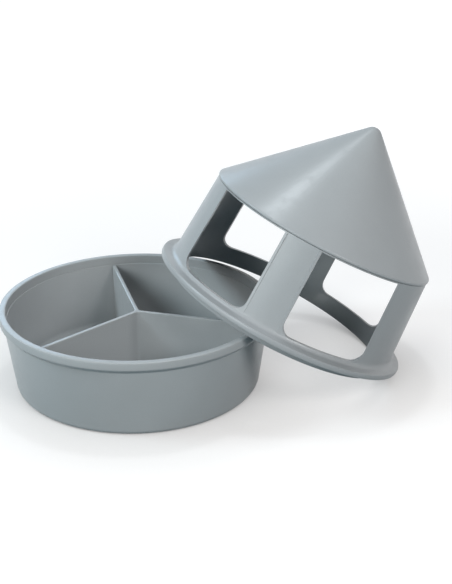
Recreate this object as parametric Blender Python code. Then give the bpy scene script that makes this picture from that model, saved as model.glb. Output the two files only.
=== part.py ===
"""Grit feeder for poultry: a round pan with three compartments and a windowed cover leaning on it.

Metres, +Z up. The origin is the centre of the pan's underside, on the floor.
The cover is modelled upright on its own axis, and then leaned against the pan.
"""
import math

import bmesh
import bpy
from mathutils import Matrix, Vector

MM = 0.001
FIT = 0.3 * MM                     # clearance between two pieces that touch

# Pan
PAN_RADIUS = 100.0 * MM            # outside of the rim band
PAN_HEIGHT = 59.5 * MM
RIM_BAND = 8.7 * MM                # height of the thicker band round the mouth
RIM_PROUD = 3.1 * MM               # how far the band stands out from the wall
BAND_FLARE = 3.0 * MM              # height over which the wall swells out to the band
WALL_TAPER = 6.7 * MM              # from under the band down to the floor
PAN_WALL = 3.0 * MM
PAN_FLOOR = 3.0 * MM
BASE_ROUND = 4.0 * MM
INSIDE_ROUND = 5.0 * MM
LEDGE_DEPTH = 7.0 * MM             # from the rim down to the inner ledge
LEDGE_WIDTH = 0.6 * MM

# Divider
ARM_COUNT = 3
ARM_THICKNESS = 3.0 * MM
ARM_TOP_ROUND = 0.7 * MM
ARM_FILLET = 4.0 * MM              # inside corners where the arms meet
ARM_AZIMUTH = math.radians(-14.2)

# Cover ring with its windows, heights counted from the foot of the locating collar
COLLAR_PLAY = 6.0 * MM             # between the collar and the pan's mouth, on the radius
COLLAR_DEPTH = 5.6 * MM            # how far the collar drops inside the pan's mouth
FLANGE_SETBACK = 0.5 * MM          # the flange ends this far inside the pan's rim
FLANGE_THICKNESS = 4.2 * MM
FLANGE_ROUND = 1.5 * MM
FLARE_RISE = 1.4 * MM
FLARE_ROUND = 4.0 * MM
RING_STEP = 2.2 * MM               # the wall's foot is this much wider than the collar
RING_TAPER = 4.7 * MM              # from the wall's foot to its top
RING_WALL = 3.0 * MM
RING_TOP = 76.3 * MM
WINDOW_SILL = 13.1 * MM
WINDOW_HEAD = 0.8 * MM             # height of the wall over a window
WINDOW_ROUND = 8.0 * MM
WINDOW_AXIS = math.radians(61.2)   # all four windows are cut along this line
PILLAR_ANGLE = math.radians(9.3)   # from that line to the near edge of a window
WINDOW_ANGLE = math.radians(51.9)  # and to its far edge
PANEL_BORDER = 3.0 * MM            # each window sits in a raised panel, this much wider at each side
PANEL_RAMP = 1.1 * MM
PANEL_PROUD = 0.5 * MM
HOOP_SETBACK = 1.2 * MM            # from the top of the wall in to the hoop that holds the roof
HOOP_WALL = 2.4 * MM
HOOP_RISE = 1.6 * MM

# Roof
EAVE_LIP = 0.6 * MM                # how far the eave stands out from the wall
EAVE_BAND = 1.8 * MM
EAVE_ROUND = 0.6 * MM
EAVE_TOP_ROUND = 1.2 * MM
APEX_HEIGHT = 160.6 * MM           # where the cone's sides would meet
APEX_ROUND = 7.0 * MM
ROOF_WALL = 2.5 * MM

# How the cover leans on the pan, as it was put down
LEAN_TILT = math.radians(26.9)
LEAN_AZIMUTH = math.radians(12.1)

# Sizes that follow from the ones above
WALL_RADIUS = PAN_RADIUS - RIM_PROUD
BAND_FOOT = PAN_HEIGHT - RIM_BAND
LEDGE_HEIGHT = PAN_HEIGHT - LEDGE_DEPTH
MOUTH_RADIUS = WALL_RADIUS + WALL_TAPER * (LEDGE_HEIGHT / BAND_FOOT - 1) - PAN_WALL + LEDGE_WIDTH
COLLAR_RADIUS = MOUTH_RADIUS - COLLAR_PLAY
FLANGE_RADIUS = PAN_RADIUS - FLANGE_SETBACK
FLANGE_TOP = COLLAR_DEPTH + FLANGE_THICKNESS
RING_FOOT = FLANGE_TOP + FLARE_RISE
RING_FOOT_RADIUS = COLLAR_RADIUS + RING_STEP
RING_TOP_RADIUS = RING_FOOT_RADIUS - RING_TAPER
WINDOW_TOP = RING_TOP - WINDOW_HEAD
HOOP_RADIUS = RING_TOP_RADIUS - HOOP_SETBACK
EAVE_RADIUS = RING_TOP_RADIUS + EAVE_LIP

PAN_STEPS = 96
COVER_STEPS = 90

GREY = (0.275, 0.305, 0.325)


def clear_scene():
    for thing in list(bpy.data.objects):
        bpy.data.objects.remove(thing, do_unlink=True)


def plastic(name, shade=1.0):
    material = bpy.data.materials.new(name)
    material.use_nodes = True
    shader = material.node_tree.nodes["Principled BSDF"]
    shader.inputs["Base Color"].default_value = (GREY[0] * shade, GREY[1] * shade, GREY[2] * shade, 1.0)
    shader.inputs["Roughness"].default_value = 0.42
    shader.inputs["Metallic"].default_value = 0.0
    return material


def rounded(outline):
    """Turns corners given as (across, up, radius) into points, with an arc at each rounded corner."""
    points = []
    count = len(outline)
    for i, (x, y, radius) in enumerate(outline):
        here = Vector((x, y))
        if radius == 0.0:
            points.append(here)
            continue
        to_last = (Vector(outline[i - 1][:2]) - here).normalized()
        to_next = (Vector(outline[(i + 1) % count][:2]) - here).normalized()
        half = to_last.angle(to_next) / 2
        centre = here + (to_last + to_next).normalized() * radius / math.sin(half)
        start = here + to_last * radius / math.tan(half) - centre
        sweep = start.angle_signed(here + to_next * radius / math.tan(half) - centre)
        steps = 2 + round(abs(sweep) / math.radians(30)) if radius > 2 * MM else 2
        for k in range(steps + 1):
            points.append(centre + Matrix.Rotation(-sweep * k / steps, 2) @ start)
    return points


def finish(bm, name, material, angle=30):
    bmesh.ops.remove_doubles(bm, verts=bm.verts, dist=1e-6)
    bmesh.ops.recalc_face_normals(bm, faces=bm.faces)
    mesh = bpy.data.meshes.new(name)
    bm.to_mesh(mesh)
    bm.free()
    mesh.materials.append(material)
    mesh.shade_smooth()
    mesh.set_sharp_from_angle(angle=math.radians(angle))
    thing = bpy.data.objects.new(name, mesh)
    bpy.context.scene.collection.objects.link(thing)
    return thing


def spun(outline, steps, start=0.0, sweep=2 * math.pi):
    """Spins an outline of (radius, height) points about the vertical axis."""
    bm = bmesh.new()
    side = Matrix.Rotation(start, 3, "Z")
    verts = [bm.verts.new(side @ Vector((x, 0.0, z))) for x, z in outline]
    face = bm.faces.new(verts)
    if sweep < 2 * math.pi:
        geometry = [face]
    else:
        geometry = face.edges[:]
        bmesh.ops.delete(bm, geom=[face], context="FACES_ONLY")
        geometry = [edge for edge in bm.edges if max(v.co.xy.length for v in edge.verts) > 1e-7]
    bmesh.ops.spin(bm, geom=geometry, cent=(0, 0, 0), axis=(0, 0, 1), angle=sweep, steps=steps,
                   use_merge=sweep >= 2 * math.pi)
    bmesh.ops.delete(bm, geom=[edge for edge in bm.edges if not edge.link_faces], context="EDGES")
    return bm


def pan_wall_outside(height):
    """Outside radius of the pan's tapered wall at a height."""
    return WALL_RADIUS + WALL_TAPER * (height / BAND_FOOT - 1)


def build_pan():
    outline = [
        (0.0, 0.0, 0.0),
        (pan_wall_outside(0.0), 0.0, BASE_ROUND),
        (WALL_RADIUS, BAND_FOOT, 1.8 * MM),
        (PAN_RADIUS, BAND_FOOT + BAND_FLARE, 1.8 * MM),
        (PAN_RADIUS, PAN_HEIGHT, 1.4 * MM),
        (MOUTH_RADIUS, PAN_HEIGHT, 1.2 * MM),
        (MOUTH_RADIUS, LEDGE_HEIGHT, 0.0),
        (MOUTH_RADIUS - LEDGE_WIDTH, LEDGE_HEIGHT, LEDGE_WIDTH * 0.7),
        (pan_wall_outside(PAN_FLOOR) - PAN_WALL, PAN_FLOOR, INSIDE_ROUND),
        (0.0, PAN_FLOOR, 0.0),
    ]
    return finish(spun(rounded(outline), PAN_STEPS), "pan", plastic("pan_plastic"))


def build_divider():
    """Three upright arms that meet at the centre, their ends following the wall's taper."""
    foot = PAN_FLOOR + FIT
    top = LEDGE_HEIGHT
    levels = []
    for k in range(4):
        turn = math.pi / 2 * k / 3
        height = foot + INSIDE_ROUND * (1 - math.cos(turn))
        levels.append((height, INSIDE_ROUND * (1 - math.sin(turn)), 0.0))
    levels.append((top - ARM_TOP_ROUND, 0.0, 0.0))
    levels.append((top - ARM_TOP_ROUND * 0.3, ARM_TOP_ROUND * 0.3, ARM_TOP_ROUND * 0.3))
    levels.append((top, ARM_TOP_ROUND, ARM_TOP_ROUND))
    bm = bmesh.new()
    rings = []
    for height, short, thin in levels:
        half = ARM_THICKNESS / 2 - thin
        end = pan_wall_outside(height) - PAN_WALL - FIT * 1.5 - short
        reach = math.sqrt(end * end - half * half)
        crotch = half / math.sin(math.pi / ARM_COUNT)
        ring = []
        for arm in range(ARM_COUNT):
            turn = Matrix.Rotation(ARM_AZIMUTH + 2 * math.pi * arm / ARM_COUNT, 3, "Z")
            between = Matrix.Rotation(ARM_AZIMUTH + 2 * math.pi * (arm + 0.5) / ARM_COUNT, 3, "Z")
            ring.append(bm.verts.new(turn @ Vector((reach, -half, height))))
            ring.append(bm.verts.new(turn @ Vector((reach, half, height))))
            for k in range(5):
                turn = math.pi + (math.pi / 2 - math.pi / ARM_COUNT) * (1 - k / 2)
                x = crotch + ARM_FILLET * (1 / math.sin(math.pi / ARM_COUNT) + math.cos(turn))
                ring.append(bm.verts.new(between @ Vector((x, ARM_FILLET * math.sin(turn), height))))
        rings.append(ring)
    for low, high in zip(rings, rings[1:]):
        for i in range(len(low)):
            j = (i + 1) % len(low)
            bm.faces.new((low[i], low[j], high[j], high[i]))
    bm.faces.new(rings[0])
    bm.faces.new(rings[-1])
    return finish(bm, "divider", plastic("divider_plastic", 1.06))


def ring_outside(height):
    """Outside radius of the cover's tapered wall at a height."""
    return RING_FOOT_RADIUS - RING_TAPER * (height - RING_FOOT) / (RING_TOP - RING_FOOT)


def hidden_tool(bm, name):
    tool = finish(bm, name, plastic(name))
    tool.hide_render = True
    tool.display_type = "WIRE"
    return tool


def window_cutters():
    """Two prisms that run right through the ring, each cutting a near window and the one behind it."""
    corners = [
        (PILLAR_ANGLE, WINDOW_SILL, WINDOW_ROUND),
        (WINDOW_ANGLE, WINDOW_SILL, WINDOW_ROUND),
        (WINDOW_ANGLE, WINDOW_TOP, 0.0),
        (PILLAR_ANGLE, WINDOW_TOP, 0.0),
    ]
    outline = rounded([(ring_outside(z) * math.sin(angle), z, radius) for angle, z, radius in corners])
    reach = FLANGE_RADIUS * 1.1
    turn = Matrix.Rotation(WINDOW_AXIS, 3, "Z")
    bm = bmesh.new()
    for side in (-1, 1):
        near = [bm.verts.new(turn @ Vector((-reach, side * y, z))) for y, z in outline]
        face = bm.faces.new(near)
        far = bmesh.ops.extrude_face_region(bm, geom=[face])["geom"]
        moved = [part for part in far if isinstance(part, bmesh.types.BMVert)]
        bmesh.ops.translate(bm, verts=moved, vec=turn @ Vector((2 * reach, 0.0, 0.0)))
    return hidden_tool(bm, "window_cutters")


def window_panels():
    """The raised panel round each window, sunk into the wall so that the two join."""
    levels = (FLANGE_TOP + FLARE_RISE * 0.6, RING_TOP - FIT)
    border = PANEL_BORDER / RING_FOOT_RADIUS
    ramp = PANEL_RAMP / RING_FOOT_RADIUS
    low_edge = PILLAR_ANGLE - border
    high_edge = WINDOW_ANGLE + border
    steps = 10
    bm = bmesh.new()
    for side in (0.0, math.pi):
        for hand in (-1, 1):
            rings = []
            for height in levels:
                radius = ring_outside(height)
                places = [(low_edge, radius - 1.2 * MM)]
                for k in range(steps + 1):
                    angle = low_edge + ramp + (high_edge - low_edge - 2 * ramp) * k / steps
                    places.append((angle, radius + PANEL_PROUD))
                places.append((high_edge, radius - 1.2 * MM))
                for k in range(steps - 1, 0, -1):
                    angle = low_edge + (high_edge - low_edge) * k / steps
                    places.append((angle, radius - 1.2 * MM))
                ring = []
                for angle, out in places:
                    turn = Matrix.Rotation(WINDOW_AXIS + side + hand * angle, 3, "Z")
                    ring.append(bm.verts.new(turn @ Vector((out, 0.0, height))))
                rings.append(ring)
            low, high = rings
            for i in range(len(low)):
                j = (i + 1) % len(low)
                bm.faces.new((low[i], low[j], high[j], high[i]))
            bm.faces.new(low)
            bm.faces.new(high)
    return hidden_tool(bm, "window_panels")


def build_window_ring():
    hoop_inside = HOOP_RADIUS - HOOP_WALL
    outline = [
        (COLLAR_RADIUS - RING_WALL, 0.0, 0.6 * MM),
        (COLLAR_RADIUS, 0.0, 0.8 * MM),
        (COLLAR_RADIUS, COLLAR_DEPTH, 0.0),
        (FLANGE_RADIUS, COLLAR_DEPTH, 1.2 * MM),
        (FLANGE_RADIUS, FLANGE_TOP, FLANGE_ROUND),
        (RING_FOOT_RADIUS + 0.3 * MM, RING_FOOT, FLARE_ROUND),
        (RING_TOP_RADIUS, RING_TOP, 0.0),
        (HOOP_RADIUS, RING_TOP, 0.0),
        (HOOP_RADIUS, RING_TOP + HOOP_RISE, 0.4 * MM),
        (hoop_inside, RING_TOP + HOOP_RISE, 0.4 * MM),
        (hoop_inside, WINDOW_TOP - 1.0 * MM, 0.0),
        (ring_outside(WINDOW_TOP - 6.0 * MM) - RING_WALL, WINDOW_TOP - 6.0 * MM, 0.0),
        (RING_FOOT_RADIUS - RING_WALL, RING_FOOT, 0.0),
    ]
    ring = finish(spun(rounded(outline), COVER_STEPS), "window_ring", plastic("ring_plastic"))
    joined = ring.modifiers.new("panels", "BOOLEAN")
    joined.operation = "UNION"
    joined.solver = "EXACT"
    joined.object = window_panels()
    cut = ring.modifiers.new("windows", "BOOLEAN")
    cut.operation = "DIFFERENCE"
    cut.solver = "EXACT"
    cut.object = window_cutters()
    return ring


def build_roof():
    skirt_foot = RING_TOP + FIT
    skirt_top = skirt_foot + EAVE_BAND
    slope = math.atan2(EAVE_RADIUS, APEX_HEIGHT - skirt_top)
    seat = RING_TOP + HOOP_RISE + FIT
    seat_radius = HOOP_RADIUS + FIT
    inner_apex = APEX_HEIGHT - ROOF_WALL / math.sin(slope)
    tip_centre = APEX_HEIGHT - APEX_ROUND / math.sin(slope)
    outline = rounded([
        (seat_radius, skirt_foot, 0.0),
        (EAVE_RADIUS, skirt_foot, EAVE_ROUND),
        (EAVE_RADIUS, skirt_top, EAVE_TOP_ROUND),
        (APEX_ROUND * math.cos(slope), tip_centre + APEX_ROUND * math.sin(slope), 0.0),
    ])
    for k in (1, 2, 3):
        rise = slope + (math.pi / 2 - slope) * k / 3
        outline.append(Vector((APEX_ROUND * math.cos(rise), tip_centre + APEX_ROUND * math.sin(rise))))
    outline[-1].x = 0.0
    outline.append(Vector((0.0, inner_apex)))
    outline.append(Vector(((inner_apex - seat) * math.tan(slope), seat)))
    outline.append(Vector((seat_radius, seat)))
    return finish(spun(outline, COVER_STEPS), "roof", plastic("roof_plastic", 1.04))


def leaning_place():
    """How far out and how high the cover stands when it touches both the floor and the rim."""
    sine = math.sin(LEAN_TILT)
    cosine = math.cos(LEAN_TILT)
    height = max(COLLAR_RADIUS * sine, FLANGE_RADIUS * sine - COLLAR_DEPTH * cosine)
    inner_edge = COLLAR_RADIUS - RING_WALL

    def clearance(out):
        # follows the collar's inner edge to the place where it crosses the rim in plan
        low, high = 0.0, math.pi
        for _ in range(60):
            turn = (low + high) / 2
            x = out + inner_edge * cosine * math.cos(turn)
            y = inner_edge * math.sin(turn)
            if math.hypot(x, y) > PAN_RADIUS:
                low = turn
            else:
                high = turn
        return height - inner_edge * sine * math.cos(turn) - PAN_HEIGHT

    near, far = 0.8 * PAN_RADIUS, 1.4 * PAN_RADIUS
    for _ in range(60):
        out = (near + far) / 2
        if clearance(out) < FIT:
            near = out
        else:
            far = out
    return out, height


def main():
    clear_scene()
    build_pan()
    build_divider()
    out, height = leaning_place()
    cover = bpy.data.objects.new("cover_axis", None)
    bpy.context.scene.collection.objects.link(cover)
    cover.rotation_mode = "XYZ"
    cover.rotation_euler = (0.0, LEAN_TILT, LEAN_AZIMUTH)
    cover.location = (out * math.cos(LEAN_AZIMUTH), out * math.sin(LEAN_AZIMUTH), height)
    ring = build_window_ring()
    tools = [modifier.object for modifier in ring.modifiers]
    for piece in (ring, build_roof(), *tools):
        piece.parent = cover


main()
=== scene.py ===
import math

import bmesh
import bpy
from mathutils import Matrix, Vector


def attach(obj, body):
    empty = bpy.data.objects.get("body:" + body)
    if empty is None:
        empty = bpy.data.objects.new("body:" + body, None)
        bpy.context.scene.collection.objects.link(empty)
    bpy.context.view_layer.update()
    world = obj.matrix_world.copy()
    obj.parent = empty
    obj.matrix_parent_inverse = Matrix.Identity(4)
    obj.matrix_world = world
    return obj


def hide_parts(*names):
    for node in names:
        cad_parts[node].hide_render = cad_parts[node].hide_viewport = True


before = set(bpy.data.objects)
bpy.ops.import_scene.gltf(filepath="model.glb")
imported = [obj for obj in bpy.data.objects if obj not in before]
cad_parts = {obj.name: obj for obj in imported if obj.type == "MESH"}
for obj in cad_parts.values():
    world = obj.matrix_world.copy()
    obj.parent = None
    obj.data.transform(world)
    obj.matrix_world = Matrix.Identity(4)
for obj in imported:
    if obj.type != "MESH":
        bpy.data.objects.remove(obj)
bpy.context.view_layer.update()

# Camera, as fitted to the photograph. Lengths are in metres and angles in radians, if nothing else is said.
CAMERA_PLACE = (0.0654, -0.7285, 0.3789)
CAMERA_PITCH = 0.4038          # below the horizon
CAMERA_ROLL = 0.0039
LENS = 44.557                  # millimetres
SENSOR_HEIGHT = 24.0           # millimetres
NEAREST, FURTHEST = 0.01, 50.0

# Shells
WELD = 1e-6                    # corners closer than this are one
CREASE = math.radians(28)      # steeper edges stay sharp

# Plastic: its colours, its sheen, and how strongly each kind of unevenness shows
PAN_GREY = (0.358, 0.376, 0.384)
COVER_GREY = (0.335, 0.352, 0.362)
ROUGHNESS = 0.34
REFRACTION = 1.36
CLOUDS = {"Scale": 22.0, "Detail": 3.0, "Roughness": 0.55}
GRAIN = {"Scale": 1400.0, "Detail": 2.0, "Roughness": 0.6}
SCUFFS = {"Scale": 90.0, "Detail": 6.0, "Roughness": 0.7}
CLOUD_TONE = (0.93, 1.07)
GRAIN_TONE = (0.95, 1.05)
SCUFF_START, SCUFF_FULL = 0.45, 0.75
SCUFF_ROUGHNESS = (-0.04, 0.09)        # added to ROUGHNESS, clean and scuffed
GRAIN_BUMP = {"Strength": 0.12, "Distance": 0.0002}
PATTERN_WAY = (1.0, 0.7, -1.0)         # the way in which a piece's pattern is shifted

# node, body, material slot, material, colour, and the shift that gives each piece its own pattern
PIECES = (
    ("pan", "base", "pan_plastic", "pan_grey", PAN_GREY, 0.0),
    ("divider", "base", "divider_plastic", "divider_grey", PAN_GREY, 3.1),
    ("window_ring", "cover", "ring_plastic", "ring_grey", COVER_GREY, 5.3),
    ("roof", "cover", "roof_plastic", "roof_grey", COVER_GREY, 8.7),
)

# Floor and room, as seen and as they light the object
WHITE = (1.0, 1.0, 1.0, 1.0)
FLOOR_SIZE = 12.0
FLOOR_PAINT = (0.36, 0.348, 0.342, 1.0)
FLOOR_GLOW = 0.69              # under the object; it rises to 1 between the two distances
GLOW_START, GLOW_FULL = 0.25, 1.1
FLOOR_BOUNCE = (0.10, 0.18, 0.21, 1.0)
SHADE_REACH = 0.07             # how far from the object the painted soft shadow in the floor's glow ends
SHADE_DEPTH = 0.25             # what is left of the glow in the deepest painted shadow
SHADE_SAMPLES = 16
ROOM_COLOUR = (0.40, 0.75, 1.0, 1.0)
ROOM_LEVEL = 0.015

# Lamps: name, place, what they face, width and height, watts, colour
MIDDLE = (0.05, 0.0, 0.06)
LAMPS = (
    ("top", (0.10, 0.38, 1.55), (0.05, 0.02, 0.05), (0.17, 0.17), 4.8, (0.88, 0.95, 1.0)),
    ("back_left", (-0.51, 1.24, 0.70), MIDDLE, (0.6, 0.5), 4.0, (0.52, 0.76, 1.0)),
    ("left", (-1.05, -0.10, 0.95), MIDDLE, (0.4, 0.4), 8.5, (0.74, 0.92, 1.0)),
    ("right_front", (0.83, -0.92, 0.88), MIDDLE, (0.55, 0.55), 12.0, (1.0, 0.985, 0.98)),
    ("front_left", (-0.60, -1.16, 0.70), MIDDLE, (0.5, 0.5), 7.5, (0.94, 1.0, 1.0)),
    ("side_left", (-1.02, -0.85, 0.62), MIDDLE, (0.5, 0.5), 4.0, (1.0, 0.96, 0.94)),
)

scene = bpy.context.scene


class Graph:
    """A node tree with short calls for adding and linking nodes."""

    def __init__(self, tree):
        self.tree = tree
        tree.nodes.clear()

    def add(self, kind, settings=None, **inputs):
        """Adds a node. An input is named, with _ for a space, or numbered as in_0, in_1 and so on."""
        node = self.tree.nodes.new(kind)
        for key, value in (settings or {}).items():
            setattr(node, key, value)
        for key, value in inputs.items():
            name = int(key[3:]) if key.startswith("in_") else key.replace("_", " ")
            if isinstance(value, bpy.types.NodeSocket):
                self.tree.links.new(value, node.inputs[name])
            else:
                node.inputs[name].default_value = value
        return node

    def math(self, operation, a, b):
        return self.add("ShaderNodeMath", {"operation": operation}, in_0=a, in_1=b).outputs[0]

    def spread(self, value, low, high):
        """Spreads a 0 to 1 value over low to high."""
        return self.add("ShaderNodeMapRange", in_0=value, To_Min=low, To_Max=high).outputs["Result"]

    def noise(self, where, kind):
        return self.add("ShaderNodeTexNoise", Vector=where, **kind).outputs["Fac"]

    def shown(self):
        """1 where a surface is seen directly, in a reflection or through glass, and 0 where it only lights."""
        rays = self.add("ShaderNodeLightPath").outputs
        direct = self.math("MAXIMUM", rays["Is Camera Ray"], rays["Is Glossy Ray"])
        return self.math("MAXIMUM", direct, rays["Is Transmission Ray"])

    def mix_shown(self, unseen, seen):
        """The first shader for light, the second for what is seen."""
        return self.add("ShaderNodeMixShader", in_0=self.shown(), in_1=unseen, in_2=seen).outputs[0]

    def finish(self, kind, surface):
        self.add(kind, Surface=surface)


def new_material(name):
    material = bpy.data.materials.new(name)
    material.use_nodes = True
    return material, Graph(material.node_tree)


def plastic(name, colour, shift):
    """Moulded grey plastic: faint clouding, fine grain, soft scuffs and a satin sheen."""
    material, g = new_material(name)
    place = g.add("ShaderNodeTexCoord").outputs["Object"]
    own_place = g.add("ShaderNodeMapping", Vector=place, Location=[shift * way for way in PATTERN_WAY])
    where = own_place.outputs["Vector"]
    clouds = g.noise(where, CLOUDS)
    grain = g.noise(where, GRAIN)
    scuffs = g.noise(where, SCUFFS)

    tone = g.math("MULTIPLY", g.spread(clouds, *CLOUD_TONE), g.spread(grain, *GRAIN_TONE))
    base = g.add("ShaderNodeVectorMath", {"operation": "SCALE"}, in_0=colour, Scale=tone)

    worn = g.add("ShaderNodeValToRGB", Fac=scuffs)
    clean_end, worn_end = worn.color_ramp.elements
    clean_end.position, clean_end.color = SCUFF_START, (0.0, 0.0, 0.0, 1.0)
    worn_end.position, worn_end.color = SCUFF_FULL, WHITE
    clean, scuffed = (ROUGHNESS + change for change in SCUFF_ROUGHNESS)
    rough = g.spread(worn.outputs["Color"], clean, scuffed)

    bump = g.add("ShaderNodeBump", Height=grain, **GRAIN_BUMP)
    shader = g.add("ShaderNodeBsdfPrincipled", Base_Color=base.outputs["Vector"], Roughness=rough,
                   IOR=REFRACTION, Normal=bump.outputs["Normal"])
    g.finish("ShaderNodeOutputMaterial", shader.outputs["BSDF"])
    return material


def shell(node, body, material):
    """The node's own solid with its round walls shaded smooth, in its place in the picture."""
    name = node + "_shell"
    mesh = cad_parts[node].data.copy()
    mesh.name = name
    form = bmesh.new()
    form.from_mesh(mesh)
    bmesh.ops.remove_doubles(form, verts=form.verts, dist=WELD)
    form.to_mesh(mesh)
    form.free()
    if "custom_normal" in mesh.attributes:
        mesh.attributes.remove(mesh.attributes["custom_normal"])
    mesh.shade_smooth()
    mesh.set_sharp_from_angle(angle=CREASE)
    mesh.materials.clear()
    mesh.materials.append(material)
    piece = bpy.data.objects.new(name, mesh)
    scene.collection.objects.link(piece)
    piece.modifiers.new("even_shading", "WEIGHTED_NORMAL").keep_sharp = True
    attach(piece, body)
    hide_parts(node)


def camera():
    data = bpy.data.cameras.new("photo_camera")
    data.sensor_fit = "VERTICAL"
    data.sensor_height = SENSOR_HEIGHT
    data.lens = LENS
    data.clip_start, data.clip_end = NEAREST, FURTHEST
    view = bpy.data.objects.new("photo_camera", data)
    scene.collection.objects.link(view)
    pitch = Matrix.Rotation(math.pi / 2 - CAMERA_PITCH, 4, "X")
    roll = Matrix.Rotation(CAMERA_ROLL, 4, "Z")
    view.matrix_world = Matrix.Translation(CAMERA_PLACE) @ pitch @ roll
    scene.camera = view


def floor():
    """White where it is seen, with the object's lamp shadows and a painted soft shadow that darkens its glow
    near the object, and a dim teal sheet in the light it throws back.
    """
    bpy.ops.mesh.primitive_plane_add(size=FLOOR_SIZE, location=(0.0, 0.0, 0.0))
    plane = bpy.context.object
    plane.name = "floor"
    material, g = new_material("floor_white")
    place = g.add("ShaderNodeTexCoord").outputs["Object"]
    distance = g.add("ShaderNodeVectorMath", {"operation": "LENGTH"}, in_0=place).outputs["Value"]
    level = g.add("ShaderNodeMapRange", {"interpolation_type": "SMOOTHSTEP"}, in_0=distance,
                  From_Min=GLOW_START, From_Max=GLOW_FULL, To_Min=FLOOR_GLOW, To_Max=1.0)
    # painted shadow: ambient occlusion darkens the floor's glow near the object
    open_sky = g.add("ShaderNodeAmbientOcclusion", {"samples": SHADE_SAMPLES}, Distance=SHADE_REACH)
    shade = g.spread(open_sky.outputs["AO"], SHADE_DEPTH, 1.0)
    strength = g.math("MULTIPLY", level.outputs["Result"], shade)
    glow = g.add("ShaderNodeEmission", Color=WHITE, Strength=strength).outputs[0]
    paint = g.add("ShaderNodeBsdfDiffuse", Color=FLOOR_PAINT).outputs[0]
    seen = g.add("ShaderNodeAddShader", in_0=paint, in_1=glow).outputs[0]
    unseen = g.add("ShaderNodeBsdfDiffuse", Color=FLOOR_BOUNCE).outputs[0]
    g.finish("ShaderNodeOutputMaterial", g.mix_shown(unseen, seen))
    plane.data.materials.append(material)


def room():
    """White where it is seen, and nearly dark in the light it gives."""
    sky = bpy.data.worlds.new("studio")
    scene.world = sky
    sky.use_nodes = True
    g = Graph(sky.node_tree)
    white = g.add("ShaderNodeBackground", Color=WHITE, Strength=1.0).outputs[0]
    dim = g.add("ShaderNodeBackground", Color=ROOM_COLOUR, Strength=ROOM_LEVEL).outputs[0]
    g.finish("ShaderNodeOutputWorld", g.mix_shown(dim, white))


def softbox(name, place, aim, size, power, colour):
    data = bpy.data.lights.new(name, "AREA")
    data.shape = "RECTANGLE"
    data.size, data.size_y = size
    data.energy = power
    data.color = colour
    lamp = bpy.data.objects.new(name, data)
    scene.collection.objects.link(lamp)
    lamp.location = place
    lamp.rotation_euler = (Vector(aim) - Vector(place)).to_track_quat("-Z", "Y").to_euler()


camera()
for node, body, slot, finish, colour, shift in PIECES:
    shell(node, body, plastic(finish, colour, shift))
floor()
room()
for lamp in LAMPS:
    softbox(*lamp)
scene.view_settings.view_transform = "Standard"
